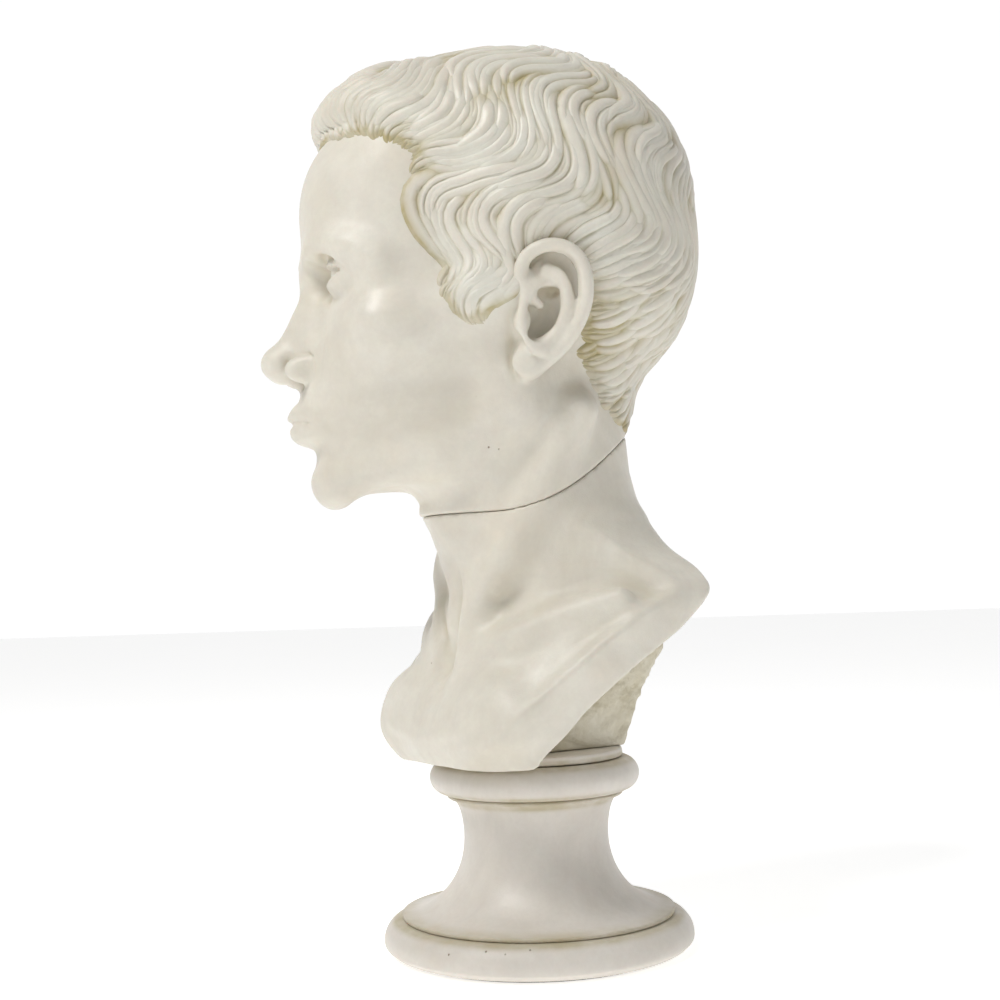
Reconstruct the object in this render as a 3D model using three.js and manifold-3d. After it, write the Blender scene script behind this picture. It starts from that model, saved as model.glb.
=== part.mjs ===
// A life-size marble portrait bust on a turned socle. Millimetres, +Z up, the face looks along -Y,
// the origin is at the middle of the felt under the socle.
//
// The socle is a stack of turned rings registered by spigots and drawn together by one steel tie rod.
// The rod's upper end is held in a brass sleeve in the bust, so the bust and the disc it stands on
// turn on a nylon washer about the rod. The head is a piece of its own: it sits on the neck along a
// seam that dips under the jaw and climbs to the nape, located by a steel dowel.
import * as THREE from "three";
import { mergeVertices } from "three/addons/utils/BufferGeometryUtils.js";
import Module from "manifold-3d";

const wasm = await Module();
wasm.setup();

// ---------- driving dimensions ----------
const jointGap = 0.3; // left between pieces that are cemented or stacked
const boreClearance = 0.5; // radial, round the rod and the dowel

// socle
const feltThickness = 1.5;
const feltInset = 5; // felt edge inside the foot edge
const footRadius = 75.5;
const baseRadius = 78.8; // fullest part of the base moulding
const baseHeight = 16;
const flareRadius = 69.2; // outer edge of the stem's flare
const waistRadius = 36.9;
const stemTopRadius = 43;
const stemHeight = 61.5;
const stemRing = 2.4; // height of the narrow ring under the collar
const collarRadius = 53.7;
const collarHeight = 16.5;
const discRadius = 45.5;
const discHeight = 4.2;
const discEdge = 1.2; // rounding of the disc's edge
const spigotRadius = 30;
const spigotHeight = 10;
const collarSpigotRadius = 22;
const collarSpigotHeight = 6;
const spigotClearance = 0.4;

// fastening
const rodRadius = 5;
const rodEnd = 3; // height of the rod's lower end over the felt's underside
const rodReach = 40; // how far the rod runs up into the bust
const counterboreRadius = 19;
const counterboreDepth = 18;
const washerRadius = 15;
const washerThickness = 2.5;
const nutAcrossFlats = 17;
const nutHeight = 8;
const lockNutHeight = 5;
const sleeveRadius = 8.5;
const sleeveLength = 34;
const slipWasherInner = 10;
const slipWasherOuter = 27;
const slipWasherThickness = 1.4;
const slipWasherProud = 0.5;
const dowelRadius = 6;
const dowelLength = 80;
const dowelY = 2;

// bust
const chestTurn = THREE.MathUtils.degToRad(32); // how far the chest faces to the bust's left
const headTurn = THREE.MathUtils.degToRad(10); // and the face
const chestWidth = 176; // across the shoulder cuts
const pillarFootWidth = 50;
const pillarTopWidth = 62;
const neckWidth = 108;
const seamFront = 120; // height of the neck seam over the bust's foot, under the jaw
const seamRise = 49; // how far the seam has climbed at seamBack
const seamBack = 60;
const chinHeight = 124; // over the bust's foot
const headHeight = 240; // chin to the top of the hair
const headWidth = 166; // over the hair
const noseLength = 21; // how far the nose stands out from the lip
const earHeight = 62;
const earWidth = 35;
const earThickness = 14;

// ---------- heights that follow from them ----------
const baseTop = feltThickness + baseHeight;
const stemTop = baseTop + stemHeight;
const collarTop = stemTop + collarHeight;
const discBottom = collarTop + slipWasherProud;
const discTop = discBottom + discHeight;
const bustFoot = discTop + jointGap;
const chinZ = bustFoot + chinHeight;
const counterboreTop = feltThickness + counterboreDepth;

// ---------- materials ----------
const marble = new THREE.MeshStandardMaterial({ color: 0xe0d9cb, roughness: 0.5, metalness: 0 });
const steel = new THREE.MeshStandardMaterial({ color: 0xa8abae, roughness: 0.35, metalness: 1 });
const brass = new THREE.MeshStandardMaterial({ color: 0xb5904a, roughness: 0.35, metalness: 1 });
const nylon = new THREE.MeshStandardMaterial({ color: 0xd8d6cc, roughness: 0.6, metalness: 0 });
const felt = new THREE.MeshStandardMaterial({ color: 0x2c3a2e, roughness: 1, metalness: 0 });

// ---------- solids ----------
function toSolid(geometry) {
  const bare = new THREE.BufferGeometry();
  bare.setAttribute("position", geometry.getAttribute("position"));
  bare.setIndex(geometry.getIndex());
  const merged = mergeVertices(bare, 1e-4);
  return new wasm.Manifold(
    new wasm.Mesh({
      numProp: 3,
      vertProperties: new Float32Array(merged.attributes.position.array),
      triVerts: new Uint32Array(merged.index.array),
    }),
  );
}

function toGeometry(solid) {
  const mesh = solid.getMesh();
  const geometry = new THREE.BufferGeometry();
  geometry.setAttribute("position", new THREE.BufferAttribute(mesh.vertProperties, 3));
  geometry.setIndex(new THREE.BufferAttribute(mesh.triVerts, 1));
  geometry.computeVertexNormals();
  return geometry;
}

// A solid of revolution about Z. The profile is a closed loop of [radius, height].
function turned(profile, steps = 48) {
  const points = [...profile, profile[0]].map(([r, z]) => new THREE.Vector2(r, z));
  const solid = toSolid(new THREE.LatheGeometry(points, steps).rotateX(Math.PI / 2));
  return solid.volume() < 0 ? toSolid(flipped(points, steps)) : solid;
}

function flipped(points, steps) {
  return new THREE.LatheGeometry(points.slice().reverse(), steps).rotateX(Math.PI / 2);
}

function rod(radius, bottom, top, steps = 32) {
  const length = top - bottom;
  const geometry = new THREE.CylinderGeometry(radius, radius, length, steps);
  return geometry.rotateX(Math.PI / 2).translate(0, 0, (top + bottom) / 2);
}

// Points on an elliptical arc in the [radius, height] plane, angles in degrees from the radius axis.
function arc(r, z, radiusR, radiusZ, from, to, steps) {
  return Array.from({ length: steps + 1 }, (_, i) => {
    const angle = THREE.MathUtils.degToRad(from + ((to - from) * i) / steps);
    return [r + radiusR * Math.cos(angle), z + radiusZ * Math.sin(angle)];
  });
}

// A closed solid through level rings. A ring runs from the front round by +X, and is [x, y] points.
function loft(levels, rings) {
  const steps = rings[0].length;
  const geometry = new THREE.CylinderGeometry(1, 1, 1, steps, levels.length - 1);
  const middles = rings.map((ring) => ring.reduce((s, p) => [s[0], s[1] + p[1] / steps], [0, 0]));
  const position = geometry.getAttribute("position");
  for (let i = 0; i < position.count; i++) {
    const [x, y, z] = [position.getX(i), position.getY(i), position.getZ(i)];
    const level = Math.round((y + 0.5) * (levels.length - 1));
    const turn = Math.round((Math.atan2(x, z) / (2 * Math.PI)) * steps);
    const point = Math.hypot(x, z) < 0.5 ? middles[level] : rings[level][(turn + steps) % steps];
    position.setXYZ(i, point[0], point[1], levels[level]);
  }
  return geometry;
}

// A smooth oval ring: half-ellipses of different depth before and behind the widest place.
function ovalRing({ half, front, back, widest }, power, steps = 36) {
  return Array.from({ length: steps }, (_, i) => {
    const angle = (2 * Math.PI * i) / steps;
    const round = (v) => Math.sign(v) * Math.abs(v) ** (2 / power);
    const depth = Math.cos(angle) > 0 ? widest - front : back - widest;
    return [half * round(Math.sin(angle)), widest - depth * round(Math.cos(angle))];
  });
}

function extrudedAlongX(shape, width, steps = 1) {
  const geometry = new THREE.ExtrudeGeometry(shape, { depth: width, bevelEnabled: false, steps, curveSegments: 14 });
  // the shape's x is drawn along +Y and its y along +Z
  const axes = new THREE.Matrix4().makeBasis(
    new THREE.Vector3(0, 1, 0),
    new THREE.Vector3(0, 0, 1),
    new THREE.Vector3(1, 0, 0),
  );
  return geometry.applyMatrix4(axes).translate(-width / 2, 0, 0);
}

// ---------- socle ----------
const rodHole = rodRadius + boreClearance;

function feltPad() {
  const radius = footRadius - feltInset;
  return toSolid(rod(radius, 0, feltThickness, 48));
}

function socleBase() {
  const roundHeight = baseHeight - 4;
  const crown = arc(flareRadius + 1, feltThickness + 4, baseRadius - flareRadius - 1, roundHeight, 90, 0, 7);
  const body = turned([
    [rodHole, counterboreTop],
    [rodHole, baseTop + spigotHeight],
    [spigotRadius, baseTop + spigotHeight],
    [spigotRadius, baseTop],
    ...crown,
    [footRadius, feltThickness],
    [counterboreRadius, feltThickness],
    [counterboreRadius, counterboreTop],
  ]);
  return body;
}

function socleStem() {
  const recess = spigotRadius + spigotClearance;
  const recessTop = baseTop + spigotHeight + spigotClearance;
  const bottom = baseTop + jointGap;
  const waistZ = baseTop + 0.66 * stemHeight;
  const lipTop = bottom + 1.6;
  const flare = arc(flareRadius, waistZ, flareRadius - waistRadius, waistZ - lipTop, 270, 180, 10);
  const bell = arc(
    stemTopRadius, waistZ, stemTopRadius - waistRadius, stemTop - stemRing - waistZ, 180, 90, 6,
  );
  return turned([
    [rodHole, recessTop],
    [recess, recessTop],
    [recess, bottom],
    [flareRadius, bottom],
    ...flare,
    ...bell.slice(1),
    [stemTopRadius + 1.2, stemTop - stemRing],
    [stemTopRadius + 1.2, stemTop],
    [collarSpigotRadius, stemTop],
    [collarSpigotRadius, stemTop + collarSpigotHeight],
    [rodHole, stemTop + collarSpigotHeight],
  ]);
}

function socleCollar() {
  const bottom = stemTop + jointGap;
  const half = (collarTop - bottom) / 2;
  const recess = collarSpigotRadius + spigotClearance;
  const recessTop = stemTop + collarSpigotHeight + spigotClearance;
  const seat = collarTop + slipWasherProud - slipWasherThickness;
  const torus = arc(collarRadius - half, bottom + half, half, half, -90, 90, 10);
  return turned([
    [rodHole, recessTop],
    [recess, recessTop],
    [recess, bottom],
    ...torus,
    [slipWasherOuter + spigotClearance, collarTop],
    [slipWasherOuter + spigotClearance, seat],
    [rodHole, seat],
  ]);
}

function slipWasher() {
  const bottom = collarTop + slipWasherProud - slipWasherThickness;
  return turned([
    [slipWasherInner, bottom],
    [slipWasherInner, discBottom],
    [slipWasherOuter, discBottom],
    [slipWasherOuter, bottom],
  ]);
}

function topDisc() {
  const edge = arc(discRadius - discEdge, discTop - discEdge, discEdge, discEdge, 90, 0, 3);
  return turned([[rodHole, discBottom], [rodHole, discTop], ...edge, [discRadius, discBottom]]);
}

// ---------- fastening ----------
const washerBottom = counterboreTop - washerThickness;
const nutBottom = washerBottom - nutHeight;
const lockNutBottom = nutBottom - lockNutHeight;
const sleeveBottom = bustFoot + 1.5;
const threadGap = jointGap;

function tieRod() {
  return toSolid(rod(rodRadius, rodEnd, bustFoot + rodReach));
}

function rodWasher() {
  return turned([
    [rodHole, washerBottom],
    [rodHole, counterboreTop],
    [washerRadius, counterboreTop],
    [washerRadius, washerBottom],
  ], 36);
}

function hexNut(bottom, height) {
  const body = toSolid(rod(nutAcrossFlats / 2 / Math.cos(Math.PI / 6), bottom, bottom + height, 6));
  return body.subtract(toSolid(rod(rodRadius + threadGap, bottom - 1, bottom + height + 1)));
}

function rodSleeve() {
  const inner = rodRadius + threadGap;
  const top = sleeveBottom + sleeveLength;
  const collarWidth = 1.2; // knurled rings that key the sleeve into the cement
  const rings = [0.2, 0.5, 0.8].flatMap((share) => {
    const z = sleeveBottom + share * sleeveLength;
    return [
      [sleeveRadius - collarWidth, z - 3],
      [sleeveRadius, z - 3],
      [sleeveRadius, z + 3],
      [sleeveRadius - collarWidth, z + 3],
    ];
  });
  return turned([
    [inner, top],
    [inner, sleeveBottom],
    [sleeveRadius - collarWidth, sleeveBottom],
    ...rings,
    [sleeveRadius - collarWidth, top],
  ], 28);
}

const dowelMiddle = bustFoot + seamFront + 7;

function neckDowel() {
  const half = dowelLength / 2;
  return toSolid(rod(dowelRadius, dowelMiddle - half, dowelMiddle + half).translate(0, dowelY, 0));
}

function dowelHole() {
  const half = dowelLength / 2 + boreClearance;
  const hole = rod(dowelRadius + boreClearance, dowelMiddle - half, dowelMiddle + half);
  return toSolid(hole.translate(0, dowelY, 0));
}

// ---------- neck and its seam ----------
// Heights are over the bust's foot; front and back are along Y, the face's side being negative.
const neckRows = [
  { z: 28, half: 0.8, front: -38, back: 38 },
  { z: 70, half: 0.92, front: -44.5, back: 54 },
  { z: 95, half: 0.96, front: -45.5, back: 61 },
  { z: 108, half: 0.98, front: -48.5, back: 60.5 },
  { z: 121, half: 1, front: -54.5, back: 58.5 },
  { z: 152, half: 1, front: -54.5, back: 54 },
  { z: 186, half: 0.98, front: -48, back: 58 },
];

function neck() {
  const rings = neckRows.map((row) =>
    ovalRing({ half: (row.half * neckWidth) / 2, front: row.front, back: row.back, widest: 4 }, 2.1),
  );
  return toSolid(loft(neckRows.map((row) => bustFoot + row.z), rings));
}

// Everything over the seam, moved up or down by shift.
function overSeam(shift) {
  const level = bustFoot + seamFront + shift;
  const far = 2 * headHeight;
  const shape = new THREE.Shape();
  shape.moveTo(-far, level);
  shape.lineTo(-14, level);
  shape.quadraticCurveTo(24, level + 1, seamBack, level + seamRise);
  shape.lineTo(far, level + 6 * seamRise);
  shape.lineTo(far, level + far);
  shape.lineTo(-far, level + far);
  shape.closePath();
  return toSolid(extrudedAlongX(shape, far));
}

// ---------- chest ----------
// Level outlines in the chest's own frame: x to its left, forward positive. The front runs from
// `front` in the middle to the cut's fore edge, the cut is flat to its rear edge, and the back is
// hollowed from there to `rear` in the middle. Widths are shares of half the chest's width.
const chestRows = [
  { z: 0, front: 69.5, fore: [0.4, 65], aft: [0.71, 36], rear: 44 },
  { z: 4, front: 70, fore: [0.455, 64], aft: [0.716, 32], rear: 42 },
  { z: 11, front: 69, fore: [0.625, 58], aft: [0.76, 25], rear: 36 },
  { z: 24, front: 62, fore: [0.75, 48], aft: [0.82, 15], rear: 18 },
  { z: 43, front: 50, fore: [0.875, 28], aft: [0.92, -6], rear: -8 },
  { z: 60, front: 41, fore: [0.965, 7], aft: [0.98, -31], rear: -34 },
  { z: 73, front: 34, fore: [0.995, -14], aft: [1, -42], rear: -60 },
  { z: 79, front: 30, fore: [0.99, -30], aft: [1, -46], rear: -70 },
  { z: 86, front: 28, fore: [0.87, -22], aft: [0.89, -46], rear: -70 },
  { z: 95, front: 26, fore: [0.73, -12], aft: [0.75, -44], rear: -64 },
  { z: 106, front: 24, fore: [0.6, 0], aft: [0.6, -36], rear: -56 },
];
const [arcSteps, cutSteps, rearSteps] = [8, 4, 8];

function chestRing(row) {
  const half = chestWidth / 2;
  const [foreX, foreY] = [row.fore[0] * half, row.fore[1]];
  const [aftX, aftY] = [row.aft[0] * half, row.aft[1]];
  const side = [];
  for (let i = 0; i < arcSteps; i++) {
    const t = i / arcSteps;
    side.push([foreX * t, row.front + (foreY - row.front) * t * t]);
  }
  for (let i = 0; i < cutSteps; i++) {
    const t = i / cutSteps;
    side.push([foreX + (aftX - foreX) * t, foreY + (aftY - foreY) * t]);
  }
  for (let i = 0; i <= rearSteps; i++) {
    const t = 1 - i / rearSteps;
    side.push([aftX * t, row.rear + (aftY - row.rear) * t * t]);
  }
  const mirrored = side.slice(1, -1).reverse().map(([x, y]) => [-x, y]);
  return [...side, ...mirrored].map(([x, y]) => [x, -y]);
}

function torso() {
  const geometry = loft(chestRows.map((row) => bustFoot + row.z), chestRows.map(chestRing));
  return toSolid(geometry.rotateZ(chestTurn));
}

// The support behind the chest, drawn from the side and narrowed towards its foot.
function pillar() {
  const shape = new THREE.Shape();
  shape.moveTo(-58, bustFoot);
  shape.lineTo(41, bustFoot);
  shape.lineTo(48, bustFoot + 20);
  shape.lineTo(66, bustFoot + 50);
  shape.lineTo(70, bustFoot + 78);
  shape.lineTo(20, bustFoot + 92);
  shape.lineTo(-30, bustFoot + 40);
  shape.closePath();
  const geometry = extrudedAlongX(shape, pillarTopWidth, 2);
  const position = geometry.getAttribute("position");
  for (let i = 0; i < position.count; i++) {
    const share = THREE.MathUtils.clamp((position.getZ(i) - bustFoot) / 50, 0, 1);
    const width = THREE.MathUtils.lerp(pillarFootWidth, pillarTopWidth, share);
    position.setX(i, (position.getX(i) * width) / pillarTopWidth);
  }
  return toSolid(geometry.rotateZ(chestTurn));
}

function chest() {
  const sleeveTop = sleeveBottom + sleeveLength + boreClearance;
  const rodTop = bustFoot + rodReach + boreClearance;
  return torso()
    .add(pillar())
    .add(neck())
    .subtract(overSeam(-jointGap / 2))
    .subtract(toSolid(rod(sleeveRadius + jointGap, bustFoot - 1, sleeveTop)))
    .subtract(toSolid(rod(rodHole, bustFoot - 1, rodTop)))
    .subtract(dowelHole());
}

// ---------- head ----------
// Rows up the head: height over the chin as a share of the head, half width as a share of the head's
// width, and the front and back along Y.
const headRows = [
  { z: 0, half: 0.09, front: -106, back: -80, widest: -92 },
  { z: 0.045, half: 0.2, front: -113, back: -52, widest: -80 },
  { z: 0.12, half: 0.3, front: -111, back: -14, widest: -50 },
  { z: 0.19, half: 0.345, front: -113, back: 34, widest: -22 },
  { z: 0.27, half: 0.375, front: -110, back: 60, widest: -8 },
  { z: 0.36, half: 0.4, front: -105, back: 72, widest: -2 },
  { z: 0.46, half: 0.425, front: -104, back: 83, widest: 2 },
  { z: 0.545, half: 0.455, front: -115, back: 90, widest: 6 },
  { z: 0.66, half: 0.49, front: -116, back: 93.5, widest: 10 },
  { z: 0.76, half: 0.5, front: -119, back: 92.5, widest: 12 },
  { z: 0.85, half: 0.46, front: -110, back: 82, widest: 8 },
  { z: 0.92, half: 0.37, front: -90, back: 66, widest: 0 },
  { z: 0.97, half: 0.25, front: -58, back: 42, widest: -6 },
  { z: 1, half: 0.07, front: -18, back: 8, widest: -5 },
];

function skull() {
  const rings = headRows.map((row) => ovalRing({ ...row, half: row.half * headWidth }, 2.3));
  return toSolid(loft(headRows.map((row) => chinZ + row.z * headHeight), rings));
}

// An ellipsoid, placed from the chin: x to the left, y forward of the ears, z up.
function oval(radii, [x, y, z], steps = 20) {
  const geometry = new THREE.SphereGeometry(1, steps, Math.round(0.6 * steps));
  return toSolid(geometry.rotateX(Math.PI / 2).scale(...radii).translate(x, -y, chinZ + z));
}

function nose() {
  const lip = -headRows[4].front;
  const base = 0.265 * headHeight;
  const root = 0.49 * headHeight;
  const shape = new THREE.Shape();
  shape.moveTo(-lip + 24, base);
  shape.lineTo(-lip - 0.55 * noseLength, base);
  shape.quadraticCurveTo(-lip - noseLength, base + 2, -lip - 0.9 * noseLength, base + 11);
  shape.lineTo(-lip + 4, root);
  shape.lineTo(-lip + 24, root + 4);
  shape.closePath();
  const wingWidth = 34;
  const geometry = extrudedAlongX(shape, wingWidth, 4).translate(0, 0, chinZ);
  const position = geometry.getAttribute("position");
  for (let i = 0; i < position.count; i++) {
    const rise = THREE.MathUtils.clamp((position.getZ(i) - chinZ - base) / (root - base), 0, 1);
    const out = THREE.MathUtils.clamp((-lip - position.getY(i)) / noseLength, 0, 1);
    const share = THREE.MathUtils.lerp(1, 0.5, rise) * (1 - 0.5 * out);
    position.setX(i, position.getX(i) * share);
  }
  return toSolid(geometry);
}

function ear(side) {
  const shell = new THREE.SphereGeometry(1, 18, 12);
  shell.scale(earThickness / 2, earWidth / 2, earHeight / 2);
  shell.rotateX(THREE.MathUtils.degToRad(-14));
  shell.rotateZ(THREE.MathUtils.degToRad(side * 18));
  return toSolid(shell.translate(side * 0.465 * headWidth, 3, chinZ + 0.385 * headHeight));
}

function face() {
  const brow = -headRows[7].front;
  const eyeHeight = 0.475 * headHeight;
  let solid = skull();
  for (const side of [1, -1]) {
    solid = solid.subtract(oval([18, 12, 11], [side * 32, brow - 6, eyeHeight]));
    solid = solid.add(oval([14, 12.5, 12], [side * 32, brow - 24, eyeHeight]));
  }
  return solid
    .add(nose())
    .add(oval([25, 9, 4.5], [0, brow - 13, 0.19 * headHeight]))
    .add(oval([22, 9, 4.5], [0, brow - 14, 0.155 * headHeight]))
    .add(oval([21, 14, 14], [0, brow - 22, 0.058 * headHeight]));
}

function head() {
  return face()
    .add(ear(1))
    .add(ear(-1))
    .rotate([0, 0, THREE.MathUtils.radToDeg(headTurn)])
    .add(neck())
    .intersect(overSeam(jointGap / 2))
    .subtract(dowelHole());
}

// ---------- the object ----------
const bust = new THREE.Group();

function place(name, solid, material) {
  const mesh = new THREE.Mesh(toGeometry(solid), material);
  mesh.name = name;
  bust.add(mesh);
}

place("felt_pad", feltPad(), felt);
place("socle_base", socleBase(), marble);
place("socle_stem", socleStem(), marble);
place("socle_collar", socleCollar(), marble);
place("swivel_washer", slipWasher(), nylon);
place("top_disc", topDisc(), marble);
place("tie_rod", tieRod(), steel);
place("rod_washer", rodWasher(), steel);
place("rod_nut", hexNut(nutBottom, nutHeight), steel);
place("lock_nut", hexNut(lockNutBottom, lockNutHeight), steel);
place("rod_sleeve", rodSleeve(), brass);
place("neck_dowel", neckDowel(), steel);
place("chest", chest(), marble);
place("head", head(), marble);

export default bust;
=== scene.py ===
# A marble portrait bust on a turned socle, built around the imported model. Lengths in the sculpting
# parts are millimetres, and meshes are turned to metres when they are made.
import math

import bpy
import numpy as np
import openvdb
from mathutils import Matrix, Vector


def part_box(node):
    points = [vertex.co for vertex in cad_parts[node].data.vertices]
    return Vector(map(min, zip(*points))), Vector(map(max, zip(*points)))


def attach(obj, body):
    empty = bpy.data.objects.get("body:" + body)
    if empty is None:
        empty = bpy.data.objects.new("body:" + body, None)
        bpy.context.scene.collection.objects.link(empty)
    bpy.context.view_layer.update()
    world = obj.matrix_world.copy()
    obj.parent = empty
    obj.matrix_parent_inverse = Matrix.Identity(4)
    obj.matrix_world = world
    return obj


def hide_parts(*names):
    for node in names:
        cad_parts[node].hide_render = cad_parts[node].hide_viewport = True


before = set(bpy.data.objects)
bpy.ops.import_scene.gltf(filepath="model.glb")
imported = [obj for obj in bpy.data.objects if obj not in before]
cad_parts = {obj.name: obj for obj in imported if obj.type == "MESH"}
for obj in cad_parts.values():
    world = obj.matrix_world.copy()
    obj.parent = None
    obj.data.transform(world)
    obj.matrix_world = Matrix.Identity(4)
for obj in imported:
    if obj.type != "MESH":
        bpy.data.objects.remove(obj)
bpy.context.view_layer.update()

MM = 0.001
HEAD_TURN = math.radians(10)
CHEST_TURN = math.radians(32)
BUST_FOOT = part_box("chest")[0].z / MM
CHIN = BUST_FOOT + 124
GROUND = 0.0
SEAM_GAP = 0.04  # left on either side of the neck seam
HEAD_CELL, CHEST_CELL, PILLAR_CELL = 1.32, 1.4, 1.15  # how finely each block is carved
HOLLOW_REACH = 4.0  # how far round a point decides whether it lies in a hollow


# ---------- camera and light ----------
def place_camera():
    """Looks at the bust's left side from a little under its middle, rolled slightly."""
    pitch, roll = math.radians(3.132), math.radians(1.763)
    place = (0.7773, -0.0133, 0.1859)
    forward = Vector((-math.cos(pitch), 0.0, math.sin(pitch)))
    right = Vector((0.0, 1.0, 0.0))
    up = right.cross(forward)
    rolled_right = right * math.cos(roll) - up * math.sin(roll)
    rolled_up = right * math.sin(roll) + up * math.cos(roll)
    camera = bpy.data.objects.new("camera", bpy.data.cameras.new("camera"))
    camera.data.lens = 54.0
    camera.data.sensor_width = 36.0
    axes = Matrix((rolled_right, rolled_up, -forward)).transposed()
    camera.matrix_world = Matrix.Translation(place) @ axes.to_4x4()
    bpy.context.scene.collection.objects.link(camera)
    bpy.context.scene.camera = camera


def soft_light(name, place, aim, size, power, colour=(1.0, 1.0, 1.0)):
    lamp = bpy.data.lights.new(name, "AREA")
    lamp.shape = "DISK"
    lamp.size = size
    lamp.energy = power
    lamp.color = colour
    item = bpy.data.objects.new(name, lamp)
    item.location = place
    item.rotation_euler = (Vector(aim) - Vector(place)).to_track_quat("-Z", "Y").to_euler()
    bpy.context.scene.collection.objects.link(item)


def pale_surroundings():
    """A white room, brightest on the far side of the bust."""
    world = bpy.data.worlds.new("room")
    bpy.context.scene.world = world
    world.use_nodes = True
    nodes, links = world.node_tree.nodes, world.node_tree.links
    nodes.clear()
    where = nodes.new("ShaderNodeTexCoord")
    split = nodes.new("ShaderNodeSeparateXYZ")
    links.new(where.outputs["Generated"], split.inputs[0])
    ramp = nodes.new("ShaderNodeMapRange")
    for socket, value in (("From Min", 0.0), ("From Max", -0.8), ("To Min", 0.2), ("To Max", 1.02)):
        ramp.inputs[socket].default_value = value
    links.new(split.outputs["X"], ramp.inputs["Value"])
    background = nodes.new("ShaderNodeBackground")
    background.inputs["Color"].default_value = (1.0, 1.0, 1.0, 1)
    links.new(ramp.outputs["Result"], background.inputs["Strength"])
    output = nodes.new("ShaderNodeOutputWorld")
    links.new(background.outputs[0], output.inputs["Surface"])


place_camera()
pale_surroundings()
soft_light("key", (0.66, -0.72, 1.5), (0, 0, 0.3), 0.6, 15, (1.0, 0.99, 0.97))
soft_light("fill", (0.8, 0.9, 1.0), (0, 0, 0.25), 0.8, 1.8)
bpy.context.scene.view_settings.view_transform = "Standard"


# ---------- clay: solids on a grid ----------
def soft_min(a, b, soft):
    if soft <= 0:
        return np.minimum(a, b)
    near = np.maximum(soft - np.abs(a - b), 0.0) / soft
    return np.minimum(a, b) - near * near * soft * 0.25


def soft_max(a, b, soft):
    return -soft_min(-a, -b, soft)


def smooth_step(value):
    t = np.clip(value, 0.0, 1.0)
    return t * t * (3 - 2 * t)


def oval(center, radii, lean=(0, 0, 0)):
    """Distance to an ellipsoid. lean turns it about x, y and z, in degrees."""
    turn = np.array(Matrix.Rotation(math.radians(lean[2]), 3, "Z")
                    @ Matrix.Rotation(math.radians(lean[1]), 3, "Y")
                    @ Matrix.Rotation(math.radians(lean[0]), 3, "X")).T

    def distance(x, y, z):
        p = (x - center[0], y - center[1], z - center[2])
        if any(lean):
            p = tuple(row[0] * p[0] + row[1] * p[1] + row[2] * p[2] for row in turn)
        near = np.sqrt(sum((q / r) ** 2 for q, r in zip(p, radii)))
        far = np.sqrt(sum((q / r ** 2) ** 2 for q, r in zip(p, radii)))
        return near * (near - 1.0) / np.maximum(far, 1e-6)

    return distance, center, max(radii)


def block_oval(center, radii, power):
    """Distance to an ellipsoid with fuller corners."""
    def distance(x, y, z):
        p = (x - center[0], y - center[1], z - center[2])
        size = sum(np.abs(q / r) ** power for q, r in zip(p, radii)) ** (1 / power)
        length = np.sqrt(sum(q * q for q in p))
        return length * (1.0 - 1.0 / np.maximum(size, 0.05))

    return distance, center, max(radii)


def rope(points, radii):
    """Distance to a tube along points, its radius changing from one to the next."""
    points = [np.array(p, float) for p in points]
    if np.isscalar(radii):
        radii = [radii] * len(points)
    low, high = np.min(points, axis=0), np.max(points, axis=0)
    center = (low + high) / 2

    def distance(x, y, z):
        best = None
        for a, b, ra, rb in zip(points, points[1:], radii, radii[1:]):
            ab = b - a
            p = (x - a[0], y - a[1], z - a[2])
            t = (p[0] * ab[0] + p[1] * ab[1] + p[2] * ab[2]) / float(ab @ ab)
            t = np.clip(t, 0.0, 1.0)
            d = np.sqrt(sum((q - t * c) ** 2 for q, c in zip(p, ab))) - (ra + (rb - ra) * t)
            best = d if best is None else np.minimum(best, d)
        return best

    return distance, tuple(center), float(np.linalg.norm(high - low)) / 2 + max(radii)


def curve(points, steps=4):
    """More points on a smooth curve through the given ones."""
    points = [np.array(p, float) for p in points]
    padded = [2 * points[0] - points[1]] + points + [2 * points[-1] - points[-2]]
    out = []
    for a, b, c, d in zip(padded, padded[1:], padded[2:], padded[3:]):
        for i in range(steps):
            t = i / steps
            out.append(0.5 * (2 * b + (c - a) * t + (2 * a - 5 * b + 4 * c - d) * t * t
                              + (3 * b - a - 3 * c + d) * t ** 3))
    out.append(points[-1])
    return out


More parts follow.
